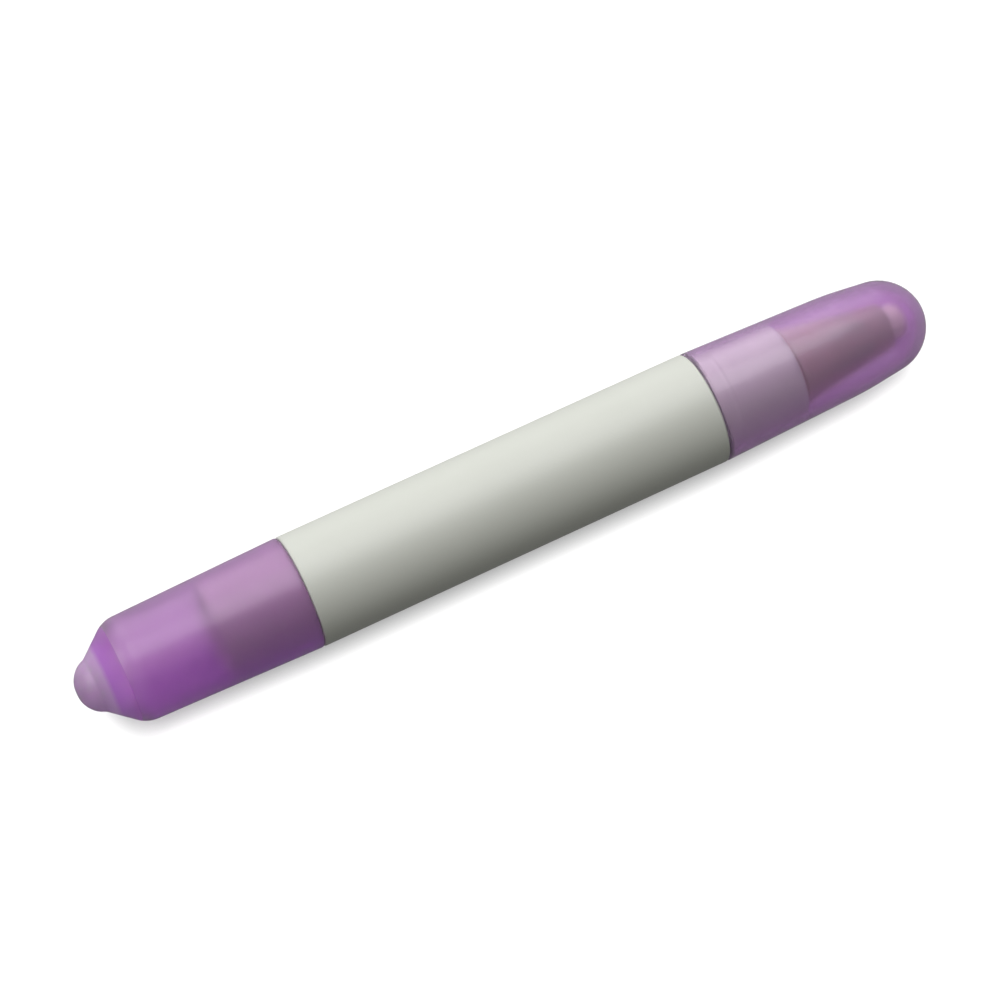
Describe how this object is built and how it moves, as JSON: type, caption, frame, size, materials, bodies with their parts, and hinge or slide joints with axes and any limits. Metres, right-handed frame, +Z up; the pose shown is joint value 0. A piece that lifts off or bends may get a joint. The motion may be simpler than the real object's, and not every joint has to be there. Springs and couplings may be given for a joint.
{
  "type": "nail polish corrector pen",
  "caption": "Round pen lying on its side: a white barrel with a felt nib on a cone under a translucent domed cap, and spare nibs in the rear neck under a cone-ended translucent cap.",
  "frame": {"origin": "on the surface that the pen lies on, below the middle of its whole length", "axes": "+X along the pen's axis towards the nib and the domed cap, +Z up, +Y to the left of the nib direction; the pen axis runs 7.75 mm above the ground"},
  "size_m": [0.1244, 0.0154, 0.0155],
  "materials": {
    "white_plastic": "satin moulded polypropylene, opaque greenish white",
    "violet_plastic": "translucent tinted polypropylene, soft gloss",
    "pink_plastic": "moulded polypropylene, dusty pink",
    "nib_felt": "bonded fibre felt, pale pink",
    "reservoir_fibre": "bonded fibre bundle",
    "clear_film": "thin clear film"
  },
  "bodies": {
    "pen_body": {"barrel": "white_plastic", "nib_holder": "pink_plastic", "nib": "nib_felt", "reservoir_core": "reservoir_fibre", "reservoir_film": "clear_film", "rear_plug": "white_plastic", "spare_nib_1": "nib_felt", "spare_nib_2": "nib_felt", "spare_nib_3": "nib_felt"},
    "front_cap": {"front_cap": "violet_plastic"},
    "rear_cap": {"rear_cap": "violet_plastic"}
  },
  "joints": [
    {"name": "front_cap_pull", "type": "slide", "parent": "pen_body", "child": "front_cap", "axis": [1, 0, 0], "range_m": [0, 0.035]},
    {"name": "rear_cap_pull", "type": "slide", "parent": "pen_body", "child": "rear_cap", "axis": [-1, 0, 0], "range_m": [0, 0.02]}
  ]
}
